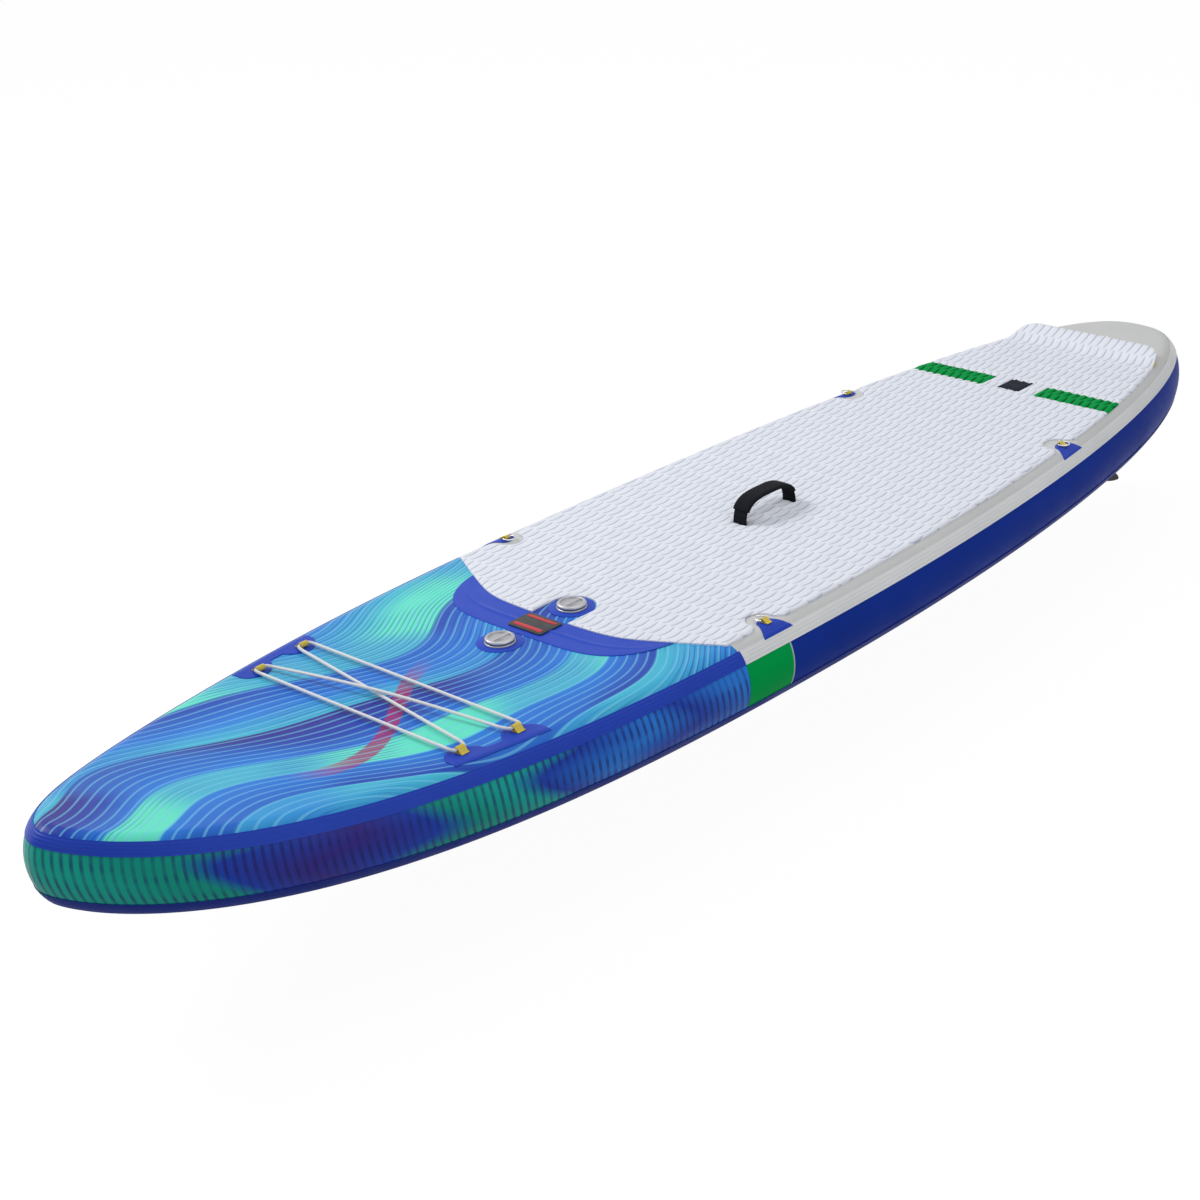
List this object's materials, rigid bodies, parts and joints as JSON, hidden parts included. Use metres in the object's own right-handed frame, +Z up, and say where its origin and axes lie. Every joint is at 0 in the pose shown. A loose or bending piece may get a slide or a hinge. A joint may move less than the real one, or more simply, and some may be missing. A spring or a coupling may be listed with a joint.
{
  "type": "stand up paddleboard",
  "caption": "Inflatable stand up paddleboard with a grooved deck pad, air valves, bungee, tie-down rings, carry handle and slide-in centre fin.",
  "frame": {"origin": "on the flat of the hull's bottom, at half length on the centre line", "axes": "+X to the nose, +Y to port, +Z up"},
  "size_m": [3.302, 0.8128, 0.4294],
  "materials": {
    "printed_rail": "printed coated fabric, satin",
    "deck_fabric": "printed coated fabric with a fine weave, satin",
    "royal_blue_pvc": "coated fabric, satin",
    "blue_patch": "coated fabric, satin",
    "pale_tape": "ribbed coated tape, satin",
    "drop_stitch_core": "coated fabric, matt",
    "pad_foam": "grooved foam, matt",
    "green_foam": "grooved foam, matt",
    "dark_foam": "foam, matt",
    "black_rubber": "moulded, matt",
    "silver_plastic": "moulded, metallic satin",
    "black_nylon": "moulded, fine grain",
    "white_cord": "braided",
    "yellow_webbing": "woven",
    "stainless_steel": "polished",
    "black_webbing": "woven and padded"
  },
  "bodies": {
    "board": {"bottom_panel": "royal_blue_pvc", "bottom_tape": "royal_blue_pvc", "bungee_cord": "white_cord", "bungee_loop_front_port": "yellow_webbing", "bungee_loop_front_starboard": "yellow_webbing", "bungee_loop_rear_port": "yellow_webbing", "bungee_loop_rear_starboard": "yellow_webbing", "bungee_patch_port": "blue_patch", "bungee_patch_starboard": "blue_patch", "d_ring_front_port_loop": "yellow_webbing", "d_ring_front_starboard_loop": "yellow_webbing", "d_ring_rear_port_loop": "yellow_webbing", "d_ring_rear_starboard_loop": "yellow_webbing", "dark_square": "dark_foam", "deck_pad": "pad_foam", "deck_panel": "deck_fabric", "fin_box": "black_nylon", "fin_box_patch": "blue_patch", "green_stripe_port": "green_foam", "green_stripe_starboard": "green_foam", "handle_grip": "black_webbing", "handle_strap": "black_webbing", "inner_chamber": "drop_stitch_core", "kick_wedge": "pad_foam", "leash_patch": "blue_patch", "leash_ring_loop": "yellow_webbing", "rail_wall_front": "printed_rail", "rail_wall_rear": "royal_blue_pvc", "ring_patch_front_port": "blue_patch", "ring_patch_front_starboard": "blue_patch", "ring_patch_rear_port": "blue_patch", "ring_patch_rear_starboard": "blue_patch", "top_tape_front": "royal_blue_pvc", "top_tape_rear": "pale_tape", "valve_body_front": "silver_plastic", "valve_body_rear": "silver_plastic", "valve_nut_front": "black_nylon", "valve_nut_rear": "black_nylon", "valve_patch_front": "blue_patch", "valve_patch_rear": "blue_patch", "valve_spring_front": "stainless_steel", "valve_spring_rear": "stainless_steel", "yoke_badge": "black_rubber", "yoke_patch": "blue_patch"},
    "valve_plunger_front": {"valve_plunger_front": "black_nylon"},
    "valve_gasket_front": {"valve_gasket_front": "black_rubber"},
    "valve_cap_front": {"valve_cap_front": "silver_plastic"},
    "valve_plunger_rear": {"valve_plunger_rear": "black_nylon"},
    "valve_gasket_rear": {"valve_gasket_rear": "black_rubber"},
    "valve_cap_rear": {"valve_cap_rear": "silver_plastic"},
    "d_ring_front_port": {"d_ring_front_port": "stainless_steel"},
    "d_ring_front_starboard": {"d_ring_front_starboard": "stainless_steel"},
    "d_ring_rear_port": {"d_ring_rear_port": "stainless_steel"},
    "d_ring_rear_starboard": {"d_ring_rear_starboard": "stainless_steel"},
    "leash_ring": {"leash_ring": "stainless_steel"},
    "fin": {"centre_fin": "black_nylon", "fin_screw": "stainless_steel", "fin_pin": "stainless_steel", "fin_plate_nut": "stainless_steel"}
  },
  "joints": [
    {"name": "valve_press_front", "type": "slide", "parent": "board", "child": "valve_plunger_front", "axis": [0, 0, -1], "range_m": [0, 0.006], "stiffness_N_per_m": 150, "springref_m": -0.005, "deforming": ["valve_spring_front"]},
    {"name": "cap_lift_front", "type": "slide", "parent": "board", "child": "valve_gasket_front", "axis": [0, 0, 1], "range_m": [0, 0.03]},
    {"name": "cap_twist_front", "type": "hinge", "parent": "valve_gasket_front", "child": "valve_cap_front", "pos_m": [0.584, 0, 0.1593], "axis": [0, 0, 1], "range_deg": [0, 90]},
    {"name": "valve_press_rear", "type": "slide", "parent": "board", "child": "valve_plunger_rear", "axis": [0, 0, -1], "range_m": [0, 0.006], "stiffness_N_per_m": 150, "springref_m": -0.005, "deforming": ["valve_spring_rear"]},
    {"name": "cap_lift_rear", "type": "slide", "parent": "board", "child": "valve_gasket_rear", "axis": [0, 0, 1], "range_m": [0, 0.03]},
    {"name": "cap_twist_rear", "type": "hinge", "parent": "valve_gasket_rear", "child": "valve_cap_rear", "pos_m": [0.388, 0, 0.1593], "axis": [0, 0, 1], "range_deg": [0, 90]},
    {"name": "d_ring_front_port_swing", "type": "hinge", "parent": "board", "child": "d_ring_front_port", "pos_m": [0.222, 0.34627, 0.159], "axis": [-1, 0.0046, 0], "range_deg": [0, 180]},
    {"name": "d_ring_front_starboard_swing", "type": "hinge", "parent": "board", "child": "d_ring_front_starboard", "pos_m": [0.222, -0.34627, 0.159], "axis": [1, 0.0046, 0], "range_deg": [0, 180]},
    {"name": "d_ring_rear_port_swing", "type": "hinge", "parent": "board", "child": "d_ring_rear_port", "pos_m": [-0.848, 0.29218, 0.16559], "axis": [0.9927, 0.1208, 0], "range_deg": [0, 180]},
    {"name": "d_ring_rear_starboard_swing", "type": "hinge", "parent": "board", "child": "d_ring_rear_starboard", "pos_m": [-0.848, -0.29218, 0.16559], "axis": [-0.9927, 0.1208, 0], "range_deg": [0, 180]},
    {"name": "leash_ring_swing", "type": "hinge", "parent": "board", "child": "leash_ring", "pos_m": [-1.455, 0, 0.17865], "axis": [0, 1, 0], "range_deg": [0, 180]},
    {"name": "fin_slide", "type": "slide", "parent": "board", "child": "fin", "axis": [0.9997, 0, -0.0238], "range_m": [-0.025, 0.025]}
  ]
}
